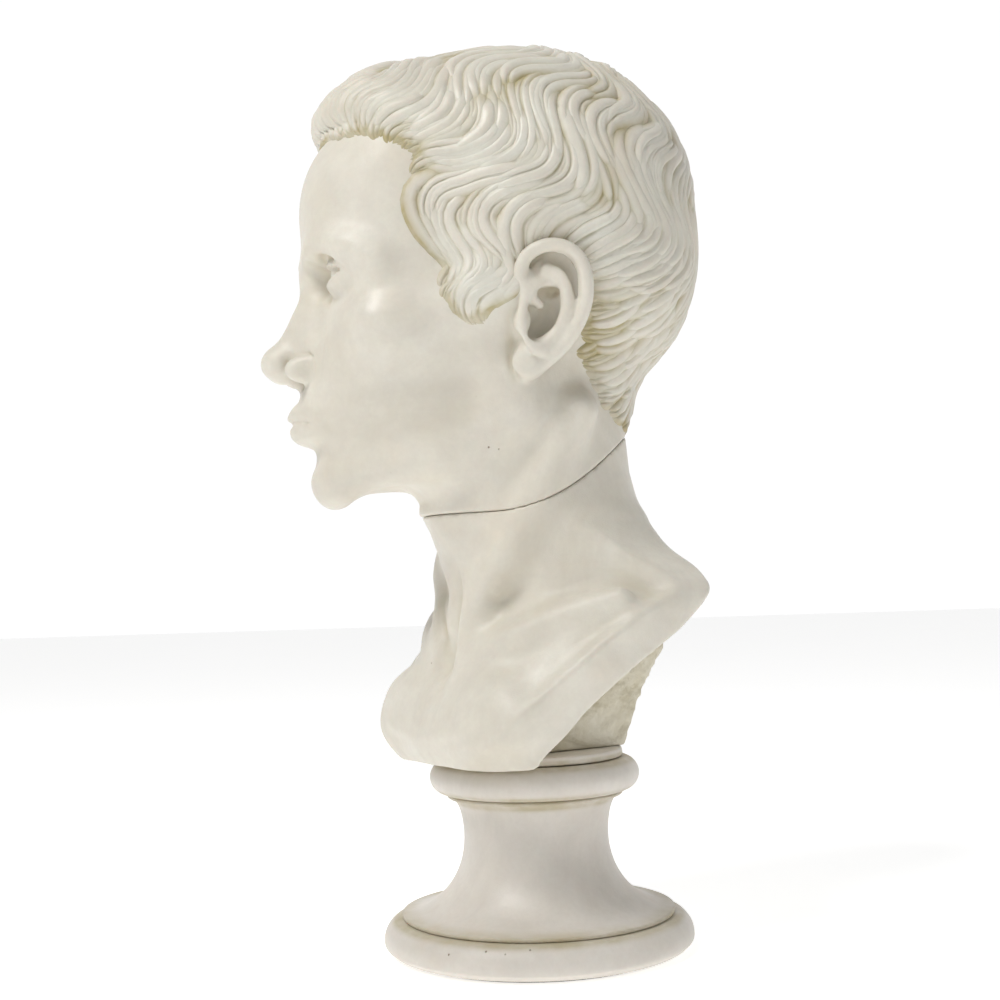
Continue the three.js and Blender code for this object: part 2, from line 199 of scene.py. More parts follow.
class Clay:
    """A block of clay on a grid. Pieces join it and are cut from it with soft edges."""

    def __init__(self, low, high, cell, turn=0.0, lift=0.0, reach_out=1.0):
        self.low, self.cell, self.turn, self.lift = np.array(low, float), cell, turn, lift
        self.reach_out = reach_out  # everything in front of the ears is drawn forward by this much
        self.axes = [np.arange(a, b, cell, dtype=np.float32) for a, b in zip(low, high)]
        x, y = self.columns()
        c, s = math.cos(turn), math.sin(turn)
        self.x = x * c + y * s
        self.true_y = y * c - x * s
        self.y = np.where(self.true_y < 0, self.true_y / reach_out, self.true_y)
        self.z = (self.axes[2] - lift)[None, None, :]
        self.field = np.full([len(a) for a in self.axes], 60.0, np.float32)

    def columns(self):
        """x and y of the grid's columns in the whole object's frame."""
        x, y = np.meshgrid(self.axes[0], self.axes[1], indexing="ij")
        return x[:, :, None], y[:, :, None]

    def part_near(self, center, reach, side):
        """The part of the grid round a shape, with its x, y and z."""
        c, s = math.cos(self.turn), math.sin(self.turn)
        x, y = center[0] * side, center[1] * (self.reach_out if center[1] < 0 else 1)
        middle = np.array((x * c - y * s, x * s + y * c, center[2] + self.lift))
        start = np.floor((middle - reach - self.low) / self.cell).astype(int)
        stop = np.ceil((middle + reach - self.low) / self.cell).astype(int) + 1
        i, j, k = (slice(max(a, 0), max(min(b, n), 0))
                   for a, b, n in zip(start, stop, self.field.shape))
        return (i, j, k), self.x[i, j] * side, self.y[i, j], self.z[:, :, k]

    def work(self, shape, soft, both, cut):
        distance, center, reach = shape
        for side in (1, -1) if both else (1,):
            where, x, y, z = self.part_near(center, reach + soft + 8, side)
            old = self.field[where]
            if not old.size:
                continue
            new = distance(x, y, z)
            self.field[where] = -soft_min(-old, new, soft) if cut else soft_min(old, new, soft)

    def add(self, shape, soft=0.0, both=False):
        self.work(shape, soft, both, False)

    def cut(self, shape, soft=0.0, both=False):
        self.work(shape, soft, both, True)

    def hollowness(self, width):
        """How far each place lies in a hollow: the solid around it, averaged over width."""
        reach = max(1, int(round(width / self.cell)))
        total = np.clip(self.field, -width, width)
        for axis in range(3):
            total = box_mean(total, reach, axis)
        return -total / width

    def sample(self, values, points):
        """Values at points, between the cells."""
        at = (points - self.low) / self.cell
        at = np.clip(at, 0, np.array(values.shape) - 1.001)
        base = at.astype(int)
        t = at - base
        out = 0.0
        for corner in np.ndindex(2, 2, 2):
            weight = np.prod(np.where(corner, t, 1 - t), axis=1)
            i, j, k = (base + corner).T
            out = out + weight * values[i, j, k]
        return out

    def mesh(self):
        grid = openvdb.FloatGrid(60.0)
        grid.copyFromArray(self.field)
        points, _, quads = grid.convertToPolygons(isovalue=0.0, adaptivity=0.0)
        return points * self.cell + self.low, quads


def box_mean(values, reach, axis):
    width = 2 * reach + 1
    pad = [(0, 0)] * 3
    pad[axis] = (reach + 1, reach)
    run = np.cumsum(np.pad(values, pad, mode="edge"), axis=axis, dtype=np.float32)
    upper = np.take(run, range(width, run.shape[axis]), axis=axis)
    lower = np.take(run, range(0, run.shape[axis] - width), axis=axis)
    return (upper - lower) / width


def outward(points, faces):
    """Faces turned outwards, judged by the enclosed volume."""
    a, b, c = (points[faces[:, i]] for i in range(3))
    volume = np.einsum("ij,ij->i", a, np.cross(b, c)).sum()
    return faces if volume > 0 else faces[:, ::-1]


def mark_hollows(mesh, hollow):
    layer = mesh.attributes.new("hollow", "FLOAT", "POINT")
    layer.data.foreach_set("value", hollow.astype(np.float32))


def make_marble(name, points, faces, material, hollow, replaces=()):
    """A piece of the bust, with the depth of its hollows kept for the dirt in them."""
    mesh = bpy.data.meshes.new(name)
    mesh.from_pydata((points * MM).tolist(), [], faces.tolist())
    mesh.polygons.foreach_set("use_smooth", np.ones(len(mesh.polygons), bool))
    mark_hollows(mesh, hollow)
    mesh.materials.append(material)
    item = bpy.data.objects.new(name, mesh)
    bpy.context.scene.collection.objects.link(item)
    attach(item, "bust")
    if replaces:
        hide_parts(*replaces)


# ---------- the neck, shared by the head and the chest ----------
NECK = np.array([  # height over the bust's foot, front, back, half width
    (40, -38, 52, 46), (64, -42, 58, 45), (80, -43.5, 60, 46), (100, -46, 60, 48),
    (112, -50, 60, 49.5), (121, -54.5, 58.5, 50.5), (140, -55, 54, 51), (165, -50, 52, 51),
    (190, -38, 50, 50), (214, -28, 47, 47), (236, -10, 40, 38),
], float)
NECK_SOFT = 16  # how softly it runs into the skull


def neck_distance(x, y, z):
    """z over the bust's foot."""
    level = z.ravel()
    front, back, half = (np.interp(level, NECK[:, 0], NECK[:, i])[None, None, :] for i in (1, 2, 3))
    middle = (front + back) / 2
    depth = (back - front) / 2
    power = 2.15
    size = (np.abs(x / half) ** power + np.abs((y - middle) / depth) ** power) ** (1 / power)
    across = (size - 1.0) * np.minimum(half, depth)
    ends = np.abs(z - 137) - 97
    return np.maximum(across, ends)


def turned_place(point, angle):
    x, y, z = point
    c, s = math.cos(angle), math.sin(angle)
    return (x * c - y * s, x * s + y * c, z)


def add_neck_tendons(clay):
    """The cords from behind the ears to the notch of the throat, as the head turns on the chest."""
    twist = HEAD_TURN - CHEST_TURN
    low = clay.axes[2] - BUST_FOOT < 196
    x, y = clay.columns()
    z = (clay.axes[2][low] - BUST_FOOT)[None, None, :]
    for side in (1, -1):
        tendon = curve([turned_place((54 * side, 18, 168), HEAD_TURN),
                        turned_place((40 * side, -24, 106), CHEST_TURN + twist / 2),
                        turned_place((22 * side, -37, 76), CHEST_TURN + twist / 3),
                        turned_place((8 * side, -41, 51), CHEST_TURN)])
        shape = rope(tendon, list(np.linspace(8.5, 4.0, len(tendon))))
        near = shape[0](x, y, z)
        clay.field[:, :, low] = soft_min(clay.field[:, :, low], near, 12)


def seam_height(y):
    """The neck seam over the bust's foot: level under the jaw, then climbing to the nape."""
    t = np.maximum(y + 14, 0) / 75
    return 120 + 2 * t + 47 * t * t


# ---------- head ----------
EYE = np.array((31.5, -80.5, 114.0))


def model_skull(clay):
    clay.add(block_oval((0, 1, 149), (73, 86, 83), 2.2), 0)
    clay.add(oval((0, 20, 118), (64, 63.5, 60)), 14)
    clay.add(block_oval((0, -34, 144), (66, 66, 79), 2.3), 10)
    clay.add(oval((0, -42, 88), (58, 54, 74)), 18)
    clay.add(oval((0, -42, 44), (44, 50, 33)), 18)


def model_jaw_and_cheeks(clay):
    clay.add(rope([(48, -12, 45), (38, -46, 26), (14, -86, 15)], [9.5, 9.5, 9]), 18, both=True)
    clay.add(rope([(57, -22, 92), (52, -20, 70), (48, -14, 48)], [8, 9.5, 9]), 18, both=True)
    clay.add(oval((44, -62, 86), (18, 24, 16), (0, 0, 30)), 20, both=True)
    clay.add(rope([(58, -40, 96), (64, -12, 100)], [6, 6]), 18, both=True)
    clay.add(oval((28, -76, 66), (19, 19, 27)), 18, both=True)
    clay.add(oval((0, -78, 51), (30, 29.5, 28)), 16)
    clay.add(oval((0, -88, 13), (19, 13.5, 12.5)), 14)
    clay.cut(oval((0, -50, 2), (24, 34, 9)), 14)


def model_brow_and_sockets(clay):
    brow = curve([(7, -97, 121), (20, -99, 125), (34, -96, 128), (46, -86, 125), (53, -74, 118)])
    clay.add(rope(brow, 5.6), 14, both=True)
    clay.add(oval((0, -88, 152), (38, 14, 24)), 18)
    clay.cut(oval((31, -107, 113), (18, 19, 11.5), (0, 0, 16)), 7, both=True)
    clay.cut(oval((15.5, -101, 114), (6, 9.5, 8)), 7, both=True)
    clay.cut(oval((80, -58, 138), (10, 24, 26), (0, 0, 18)), 28, both=True)


def lid_shell(upper):
    """One eyelid: a shell round the eyeball, down or up to the opening's edge."""
    ball, lid = 12.6, 15.7
    top, low = 4.8, -4.4

    def distance(x, y, z):
        px, py, pz = x - EYE[0], y - EYE[1], z - EYE[2]
        radius = np.sqrt(px * px + py * py + pz * pz)
        bow = 1 - (np.abs(px + 1.5) / 14.8) ** 2.2
        slant = 0.06 * px
        edge = (pz - top * bow - slant) if upper else (low * bow + slant - pz)
        shell = np.maximum(radius - lid, ball - 2 - radius)
        return np.maximum(shell, -edge * 0.85)

    return distance, tuple(EYE), lid


def model_eyes(clay):
    clay.add(oval(EYE, (12.6, 12.6, 12.6)), 0.8, both=True)
    clay.add(lid_shell(True), 0.8, both=True)
    clay.add(lid_shell(False), 1.4, both=True)
    crease = curve([(19, -92.5, 117.5), (25, -95.8, 122), (32, -96.6, 123.4), (39.5, -92.5, 122)])
    clay.cut(rope(crease, 1.5), 2.6, both=True)
    clay.add(oval((17.6, -90.2, 113.2), (2.4, 2.2, 1.6)), 2.5, both=True)
    pouch = curve([(20, -93.5, 104.5), (28, -96, 101.6), (37, -93.5, 102.4)])
    clay.cut(rope(pouch, 0.5), 6, both=True)


def model_nose(clay):
    bridge = curve([(0, -94, 118), (0, -100, 104), (0, -107, 89), (0, -113.5, 77)])
    clay.add(rope(bridge, list(np.linspace(6.6, 7.6, len(bridge)))), 9)
    clay.add(oval((0, -117, 74.5), (8.6, 8, 7.4)), 7)
    clay.add(rope([(7, -99, 96), (12, -99, 78)], [6, 8]), 10, both=True)
    clay.add(oval((12.4, -105.5, 71), (5.8, 9.4, 6.8), (10, 0, 18)), 3.5, both=True)
    clay.add(rope([(0, -104, 64), (0, -116, 69)], [3.2, 4.0]), 3)
    clay.cut(oval((6.4, -108, 64), (2.7, 4.8, 3.2), (0, 0, 12)), 1.6, both=True)
    wing = curve([(9.8, -113.5, 73.5), (14.4, -109, 78.5), (18.8, -101.5, 76.5), (19.8, -98, 68)])
    clay.cut(rope(wing, 0.3), 4.5, both=True)


def model_mouth(clay):
    upper = curve([(22.5, -96.5, 44.6), (14, -103.2, 46.8), (6, -107.6, 48.9), (0, -107.9, 47.6)])
    clay.add(rope(upper, list(np.linspace(1.8, 4.2, len(upper)))), 5, both=True)
    lower = curve([(20.5, -97, 42.2), (12, -102.6, 39.0), (0, -105.4, 37.8)])
    clay.add(rope(lower, list(np.linspace(2.4, 5.2, len(lower)))), 6, both=True)
    parting = curve([(23.5, -98, 43.6), (14, -106.5, 43.8), (6, -111, 44.8), (0, -111.7, 43.6)])
    clay.cut(rope(parting, list(np.linspace(0.5, 1.0, len(parting)))), 2.0, both=True)
    clay.cut(rope([(0, -113.6, 61), (0, -114.6, 53)], 3.2), 3)
    clay.cut(oval((0, -114.5, 27), (16, 10, 5)), 10)


def ear_place(back, up, out=0.0):
    """A place on the ear: back along the head, up over the chin, out of the ear's own plane."""
    return (62.5 + 0.15 * (up - 60) + 0.24 * (back + 15) + out, back, up)


def ear_curve(*rows):
    return curve([ear_place(*row) for row in rows])


def model_ear(clay):
    place = ear_place
    clay.add(oval(place(0, 96, -6.5), (9, 12, 25), (-16, 0, 0)), 6, both=True)
    clay.add(oval(place(1.5, 93, -0.5), (3.8, 15, 26), (-18, 0, 15)), 3, both=True)
    clay.cut(oval(place(-2.5, 86.5, 4), (11, 8.6, 13), (-20, 0, 15)), 2.4, both=True)
    clay.cut(oval(place(-3, 84, -0.5), (10, 7.2, 10), (-18, 0, 15)), 2.4, both=True)
    clay.cut(oval(place(0.5, 98, 0), (8, 6.2, 3.4), (10, 0, 15)), 1.6, both=True)
    clay.cut(oval(place(-3.5, 109.5, 5.2), (5.4, 4.4, 5.0), (-20, 0, 15)), 2, both=True)
    rim = ear_curve((-3.5, 92.5, 0), (-9.5, 97.5, 3.4), (-12.8, 106, 3.8), (-9.5, 115, 3.6),
                    (-1, 119.4, 3.4), (8.5, 117.4, 3.4), (15, 110, 3.2), (17, 98, 3.0),
                    (15, 87, 2.6), (9.5, 76.5, 2.0), (1.5, 68, 1.4), (-6, 63, 1.0))
    widths = np.interp(np.linspace(0, 1, len(rim)), [0, 0.15, 0.4, 0.6, 0.8, 1],
                       [2.2, 3.0, 3.5, 3.9, 3.6, 3.6])
    clay.add(rope(rim, list(widths)), 2.4, both=True)
    groove = ear_curve((-6.5, 111.5, 5.0), (2, 114.4, 5.0), (9, 111.6, 5.0),
                       (12.2, 104, 4.8), (12.4, 94, 4.6), (9.8, 84.5, 4.4))
    clay.cut(rope(groove, 1.2), 2.0, both=True)
    inner_fold = ear_curve((-1, 108.5, 1.2), (5, 105.5, 2.0), (8.2, 98, 2.4), (8.2, 89, 2.4),
                           (4.6, 80.5, 2.2), (-2.5, 74.5, 1.8), (-8.5, 73.5, 1.6))
    clay.add(rope(inner_fold, 2.9), 3.4, both=True)
    shelf = ear_curve((5, 102.5, 1.4), (-2, 103, 0.2), (-7, 103.5, -0.8))
    clay.add(rope(shelf, 1.7), 2.6, both=True)
    clay.add(oval(place(-10.5, 65, 0.4), (4.4, 6.8, 6.4), (-30, 0, 12)), 7, both=True)
    clay.add(oval(place(-11.6, 84, 4.4), (3.4, 3.4, 5.6), (-14, 0, 10)), 4, both=True)
    crease = ear_curve((-16.5, 76, 0), (-16.6, 67, 1.6), (-14, 58, 1.4))
    clay.cut(rope(crease, 1.1), 3, both=True)


def model_head_clay(cell):
    clay = Clay((-94, -142, 215), (94, 98, 466), cell, HEAD_TURN, CHIN, 1.07)
    model_skull(clay)
    model_jaw_and_cheeks(clay)
    model_brow_and_sockets(clay)
    model_eyes(clay)
    model_nose(clay)
    model_mouth(clay)
    bare = clay.field.copy()
    model_ear(clay)
    neck = neck_distance(*clay.columns(), (clay.axes[2] - BUST_FOOT)[None, None, :])
    clay.field = soft_min(clay.field, neck, NECK_SOFT)
    add_neck_tendons(clay)
    scalp = soft_min(bare, neck, NECK_SOFT)
    return clay, scalp


# ---------- hair ----------
# The edge of the hair on either side, as back and up in the head's own frame.
HAIRLINE = np.array([
    (-130, 190), (-104, 188), (-82, 182), (-62, 172), (-56, 134), (-51, 112), (-45, 91), (-39, 86),
    (-24, 98), (-15, 106), (-9, 115), (3, 118.5), (13, 115), (19, 104), (21.5, 83), (21.5, 70),
    (27, 57), (37, 44), (50, 37), (110, 36), (120, 260), (-130, 260),
], float)
WHORL = np.array((0.0, 44.0, 226.0))
PARTING = -16.0  # across: the hair on either side of it bends the other way
WAVE = 44.0  # from crest to crest of the waves that the locks share
WAVE_SWING = math.radians(47)
WHORL_SWING = math.radians(62)
LOCK_SPACING = 8.4
LOCK_LENGTH = (58, 84)
LOCK_HALF_WIDTH = (7.4, 10.4)
LOCK_HEIGHT = (3.2, 4.6)
SHORTEST_LOCK = 16


def hairline_distance(y, z):
    """Distance to the hairline, negative where there is hair."""
    near = np.full(np.shape(y), 1e9)
    inside = np.zeros(np.shape(y), bool)
    for (ay, az), (by, bz) in zip(HAIRLINE, np.roll(HAIRLINE, -1, axis=0)):
        dy, dz = by - ay, bz - az
        t = np.clip(((y - ay) * dy + (z - az) * dz) / (dy * dy + dz * dz), 0, 1)
        near = np.minimum(near, np.hypot(y - ay - t * dy, z - az - t * dz))
        crosses = (az > z) != (bz > z)
        at = ay + (z - az) * dy / (dz if abs(dz) > 1e-9 else 1e-9)
        inside ^= crosses & (y < at)
    return np.where(inside, -near, near)


def hair_thickness(y):
    return 3.0 + 6.0 * smooth_step((-y - 40) / 70)


def hair_bed(clay, scalp):
    """The scalp raised under the hair, a little inside the hairline."""
    ys = np.arange(-140, 121.0)
    zs = np.arange(-20, 261.0)
    table = hairline_distance(*np.meshgrid(ys, zs, indexing="ij")).astype(np.float32)
    iy = np.clip(np.rint(clay.true_y - ys[0]).astype(int), 0, len(ys) - 1)
    iz = np.clip(np.rint(clay.z - zs[0]).astype(int), 0, len(zs) - 1)
    edge = table[iy, iz] + 5
    raised = -soft_min(-(scalp - hair_thickness(clay.true_y)), -edge, 12)
    return soft_min(scalp, raised, 4)


class Surface:
    """The surface that the hair lies on, in the head's own frame."""

    def __init__(self, clay, field):
        self.clay, self.field = clay, field

    def height(self, points):
        c, s = math.cos(self.clay.turn), math.sin(self.clay.turn)
        x, y, z = points.T
        placed = np.stack((x * c - y * s, x * s + y * c, z + self.clay.lift), axis=1)
        return self.clay.sample(self.field, placed)

    def normal(self, points):
        step = 2.4
        rise = [self.height(points + step * e) - self.height(points - step * e) for e in np.eye(3)]
        return unit(np.stack(rise, axis=1))

    def settle(self, points, rounds=3):
        for _ in range(rounds):
            points = points - self.normal(points) * self.height(points)[:, None]
        return points


def unit(vectors):
    return vectors / np.maximum(np.linalg.norm(vectors, axis=-1, keepdims=True), 1e-9)


def lay_flat(vectors, normals):
    return unit(vectors - normals * np.sum(vectors * normals, axis=1, keepdims=True))


def turned_about(vectors, normals, angles):
    c, s = np.cos(angles)[:, None], np.sin(angles)[:, None]
    return vectors * c + np.cross(normals, vectors) * s


def side_sign(points):
    """1 on the left of the parting, -1 on its right."""
    return np.tanh((points[:, 0] - PARTING) / 7)


def below_ear(points):
    """1 in the short hair behind and under the ears."""
    return smooth_step((146 - points[:, 2]) / 46) * smooth_step((points[:, 1] - 2) / 18)


def hair_course(points, normals):
    """Which way the hair lies: out from the whorl, down at the brow and temples, forward under the ears."""
    side = smooth_step(np.abs(points[:, 0]) / 34)[:, None]
    low = below_ear(points)[:, None]
    forward = np.array((0.0, -1.0, 0.0))
    down = np.array((0.0, 0.0, -1.0))
    away = unit(points - WHORL)
    front = smooth_step((-15 - points[:, 1]) / 30)[:, None]
    temple = front * smooth_step((160 - points[:, 2]) / 40)[:, None]
    brow = smooth_step((-points[:, 1] - 45) / 45)[:, None]
    course = away * (1 - low) + (down * 0.5 + forward * 0.95 * side) * low
    course = course + down * (1.1 * temple + 1.5 * brow)
    return lay_flat(course, normals)


def shared_wave(points):
    """The swing of the waves at a place: neighbouring locks bend together."""
    run = np.linalg.norm(points - WHORL, axis=1)
    drift = 0.9 * np.sin(points[:, 1] / 24 + 1.3) + 0.7 * np.sin(points[:, 2] / 30 + points[:, 1] / 43)
    return np.sin(2 * math.pi * run / WAVE + drift)


def fringe(points):
    """1 where the hair is combed down over the forehead."""
    return smooth_step((-points[:, 1] - 62) / 34) * smooth_step((points[:, 2] - 160) / 20)


def hair_roots(surface, rng, spacing):
    """Places for locks: a ring of them at the whorl, the others scattered evenly over the hair."""
    ring = np.linspace(0, 2 * math.pi, 11, endpoint=False)
    around = WHORL + 3.0 * np.stack((np.cos(ring), np.sin(ring), 0 * ring), axis=1)
    middle = np.array((0.0, -6.0, 140.0))
    ways = unit(rng.normal(size=(16000, 3)))
    points = middle + ways * 150
    for _ in range(14):
        points = points - ways * surface.height(points)[:, None] * 0.9
    points = points[hairline_distance(points[:, 1], points[:, 2]) < -3]
    kept = list(around)
    for point in points:
        if all(np.sum((point - other) ** 2) > spacing ** 2 for other in kept):
            kept.append(point)
    return np.array(kept)


def walk(surface, roots, length, hook, stray, steps):
    """Lines over the hair bed from every root, as points and the bed's normals there."""
    points = surface.settle(roots)
    paths, normals = [points], [surface.normal(points)]
    side = side_sign(roots)
    for step in range(steps - 1):
        share = (step + 0.5) / (steps - 1)
        normal = surface.normal(points)
        way = hair_course(points, normal)
        low = below_ear(points)
        at_brow = fringe(points)
        waves = WAVE_SWING * side * shared_wave(points) * (1 - 0.25 * at_brow)
        scoop = side * (0.75 - 1.55 * share)
        near_whorl = smooth_step(1 - np.linalg.norm(points - WHORL, axis=1) / 52)
        waves = waves * (1 - near_whorl) + WHORL_SWING * near_whorl
        swing = waves * (1 - low) + scoop * low + hook * smooth_step((share - 0.5) / 0.5)
        way = turned_about(way, normal, swing + stray)
        points = surface.settle(points + way * (length / (steps - 1))[:, None], 1)
        paths.append(points)
        normals.append(surface.normal(points))
    return np.stack(paths, axis=1), np.stack(normals, axis=1)


def lock_paths(surface, roots, rng, steps=23):
    """The middle lines of the locks, kept from running past the hairline."""
    count = len(roots)
    low = below_ear(roots)
    length = rng.uniform(*LOCK_LENGTH, count) * (1 - 0.38 * low)
    side = side_sign(roots)
    near_edge = smooth_step(1 + hairline_distance(roots[:, 1], roots[:, 2]) / 45)
    beside = smooth_step(np.abs(roots[:, 0] - PARTING) / 26)
    hook = side * beside * (0.15 + 0.85 * near_edge) * (1 - low) * rng.uniform(0.6, 1.2, count)
    stray = rng.normal(0, 0.06, count)
    paths, _ = walk(surface, roots, length, hook, stray, steps)
    over = hairline_distance(paths[..., 1], paths[..., 2]) > 3
    reach = np.where(over.any(axis=1), over.argmax(axis=1), steps) / steps
    length = length * reach
    long_enough = length > SHORTEST_LOCK
    paths, normals = walk(surface, roots[long_enough], length[long_enough], hook[long_enough],
                          stray[long_enough], steps)
    return paths, normals, long_enough


def lock_meshes(surface, paths, normals, rng, across=19):
    """Every lock as a grooved, pointed tongue on the hair bed, its open ends and under side in the bed."""
    count, steps = paths.shape[:2]
    t = np.linspace(0, 1, steps)[None, :, None]
    u = np.linspace(-1, 1, across)[None, None, :]
    side = np.cross(unit(np.gradient(paths, axis=1)), normals)
    reach = np.linalg.norm(np.diff(paths, axis=1), axis=2).sum(axis=1)
    small = np.clip(reach / 46, 0.5, 1)[:, None, None]
    bulk = fringe(paths[:, -1])[:, None, None]
    width = rng.uniform(*LOCK_HALF_WIDTH, count)[:, None, None] * small * (1 + 0.2 * bulk)
    height = rng.uniform(*LOCK_HEIGHT, count)[:, None, None] * (0.4 + 0.6 * small) * (1 + 0.3 * bulk)
    ridges = rng.choice((2, 2, 3), count)[:, None, None]
    opening = np.minimum((t + 0.02) / 0.3, 1) ** 0.6
    closing = np.minimum(np.maximum(1 - t, 0) / 0.36, 1) ** 0.5
    from_whorl = np.linalg.norm(paths[:, 0] - WHORL, axis=1)[:, None, None]
    rise = 0.08 + 0.3 * smooth_step(from_whorl / 40)
    lift = smooth_step(t / rise) * (1 - smooth_step((t - 0.75) / 0.25) * 0.8)
    crown = (1 - np.abs(u) ** 2.4) ** 0.75
    groove = np.abs(np.sin(math.pi * ridges * (u + 1) / 2)) ** 0.55
    groove = groove - 0.16 * (1 - np.abs(np.sin(math.pi * ridges * (u + 1))))
    lean = 0.18 * u * np.sign(paths[:, :1, :1] + 1e-6)
    tall = height * lift * (crown * (0.64 + 0.36 * groove) + lean * crown)
    flat = paths[:, :, None, :] + side[:, :, None, :] * (width * (opening * closing) * u)[..., None]
    points = surface.settle(flat.reshape(-1, 3), 2).reshape(flat.shape)
    normal = surface.normal(points.reshape(-1, 3)).reshape(flat.shape)
    top = points + normal * (tall - 0.6)[..., None]
    under = paths - normals * 3.0
    ring = np.concatenate((top, under[:, :, None, :]), axis=2)
    hollow = np.concatenate((1.25 - tall / 3.0, np.ones((count, steps, 1))), axis=2)
    return ring, hollow


def tongue_faces(count, steps, around):
    """Quads round each lock, from its root to its tip."""
    lock, step, place = np.indices((count, steps - 1, around))
    first = (lock * steps + step) * around
    a = first + place
    b = first + (place + 1) % around
    return np.stack((a, b, b + around, a + around), axis=-1).reshape(-1, 4)


def build_hair(surface, material):
    """All the locks, in four pieces."""
    rng = np.random.default_rng(11)
    roots = hair_roots(surface, rng, LOCK_SPACING)
    paths, normals, kept = lock_paths(surface, roots, rng)
    roots = roots[kept]
    ring, hollow = lock_meshes(surface, paths, normals, rng)
    steps, around = ring.shape[1:3]
    c, s = math.cos(HEAD_TURN), math.sin(HEAD_TURN)
    x, y, z = ring[..., 0], ring[..., 1], ring[..., 2]
    placed = np.stack((x * c - y * s, x * s + y * c, z + CHIN), axis=-1)
    fore = roots[:, 1] < 0
    left = roots[:, 0] > 0
    quarters = {"hair_fore_left": fore & left, "hair_fore_right": fore & ~left,
                "hair_rear_left": ~fore & left, "hair_rear_right": ~fore & ~left}
    for name, chosen in quarters.items():
        points = placed[chosen].reshape(-1, 3)
        faces = outward(points, tongue_faces(int(chosen.sum()), steps, around))
        make_marble(name, points, faces, material, hollow[chosen].reshape(-1))


# ---------- chest ----------
# Level outlines in the chest's own frame: height over the foot, front middle, the cut's fore edge
# (across, forward), its rear edge (across, forward) and the middle of the hollow back.
CHEST_ROWS = np.array([
    (-8, 60, 28, 58, 57, 38, 40), (4, 69, 40, 63, 63, 32, 42), (11, 69, 55, 58, 67, 25, 36),
    (24, 62, 66, 48, 72, 15, 18), (43, 50, 77, 28, 81, -6, -8), (60, 42, 85, 7, 86, -31, -34),
    (73, 34, 88, -14, 89, -44, -60), (80, 30, 88, -32, 89, -49, -70), (90, 27, 77, -24, 78, -49, -70),
    (100, 25, 61, -10, 62, -44, -64), (112, 22, 46, 2, 47, -36, -54),
], float)
PILLAR_SIDES = ((0, 50), (25, 31))  # half width at heights over the foot
PILLAR_REAR = ((0, 20, 50, 70), (41, 48, 65, 66))
PILLAR_HEIGHT = 88
CHISEL_CUTS = 620


def smooth_rows(levels, column):
    """One column of the outlines at every level, with the corners between rows rounded off."""
    fine = np.arange(-20, 132.0)
    values = np.interp(fine, CHEST_ROWS[:, 0], CHEST_ROWS[:, column])
    kernel = np.hanning(13) / np.hanning(13).sum()
    values = np.convolve(np.pad(values, 6, mode="edge"), kernel, mode="valid")
    return np.interp(levels, fine, values)[None, None, :]


def even_slope(field, cell):
    """The same zero surface with distances made true near it."""
    gx, gy, gz = np.gradient(field, cell)
    return field / np.maximum(np.sqrt(gx * gx + gy * gy + gz * gz), 0.35)


def torso(clay):
    """Distance to the chest between its front, the smooth cut round it and its hollow back."""
    level = clay.z.ravel()
    front, fore_x, fore_y, aft_x, aft_y, rear = (smooth_rows(level, i) for i in range(1, 7))
    u = np.abs(clay.x)
    v = -clay.y
    facing = even_slope(v - (front - (front - fore_y) * (u / fore_x) ** 2), clay.cell)
    along_x, along_y = aft_x - fore_x, aft_y - fore_y
    length = np.sqrt(along_x ** 2 + along_y ** 2)
    band = even_slope(((v - fore_y) * along_x - (u - fore_x) * along_y) / length, clay.cell)
    channel = 1.5 * np.exp(-((band + 8.5) / 5.0) ** 2)  # shallow, just inside the cut's edge
    facing = facing + channel
    behind = even_slope(rear + (aft_y - rear) * (u / aft_x) ** 2 - v, clay.cell)
    body = soft_max(soft_max(facing, band, 1.6), behind, 2.0)
    reach = np.sqrt(clay.x ** 2 + clay.y ** 2)
    overhang = 3.4 * smooth_step((reach - 47) / 7)
    body = soft_max(body, -clay.z - overhang, 1.2)
    return soft_max(body, clay.z - 110, 6)


def model_chest_clay(cell):
    clay = Clay((-98, -94, BUST_FOOT - 4), (98, 104, BUST_FOOT + 164), cell, CHEST_TURN, BUST_FOOT)
    x, y = clay.columns()
    z = clay.z
    neck = np.maximum(neck_distance(x, y, z), 34 - z)
    clay.field = soft_min(torso(clay), neck, 20).astype(np.float32)
    clavicle = curve([(9, -40, 46), (28, -40, 52), (52, -24, 65), (76, 2, 77)])
    clay.add(rope(clavicle, 3.6), 14, both=True)
    clay.add(oval((34, -46, 22), (26, 14, 17)), 16, both=True)
    clay.cut(oval((31, -39, 80), (13, 7, 7), (0, -18, 0)), 18, both=True)
    add_neck_tendons(clay)
    turn = HEAD_TURN - CHEST_TURN
    for side in (1, -1):
        inner = curve([turned_place((22 * side, -52, 104), turn / 2),
                       turned_place((12 * side, -48, 78), turn / 3), (4.5 * side, -50, 54)])
        clay.cut(rope(inner, 1.2), 8)
        fold = np.array(curve([turned_place((17 * side, -50, 92), turn / 2),
                               turned_place((11 * side, -47, 74), turn / 3),
                               (6.5 * side, -48, 58), (6 * side, -52, 44), (7.5 * side, -58, 34)]))
        fold = Surface(clay, clay.field).settle(fold)
        depth = 1.3 * np.sin(np.linspace(0.15, 3.0, len(fold)))
        clay.cut(rope(fold, list(depth)), 2.2)
    clay.cut(oval((0, -53, 50), (6.5, 8, 10)), 7)
    clay.cut(rope(curve([(0, -66, 44), (0, -77, 24), (0, -81, 4)]), 4.0), 14)
    clay.field = soft_max(clay.field, z + SEAM_GAP - seam_height(y), 0.4)
    return clay


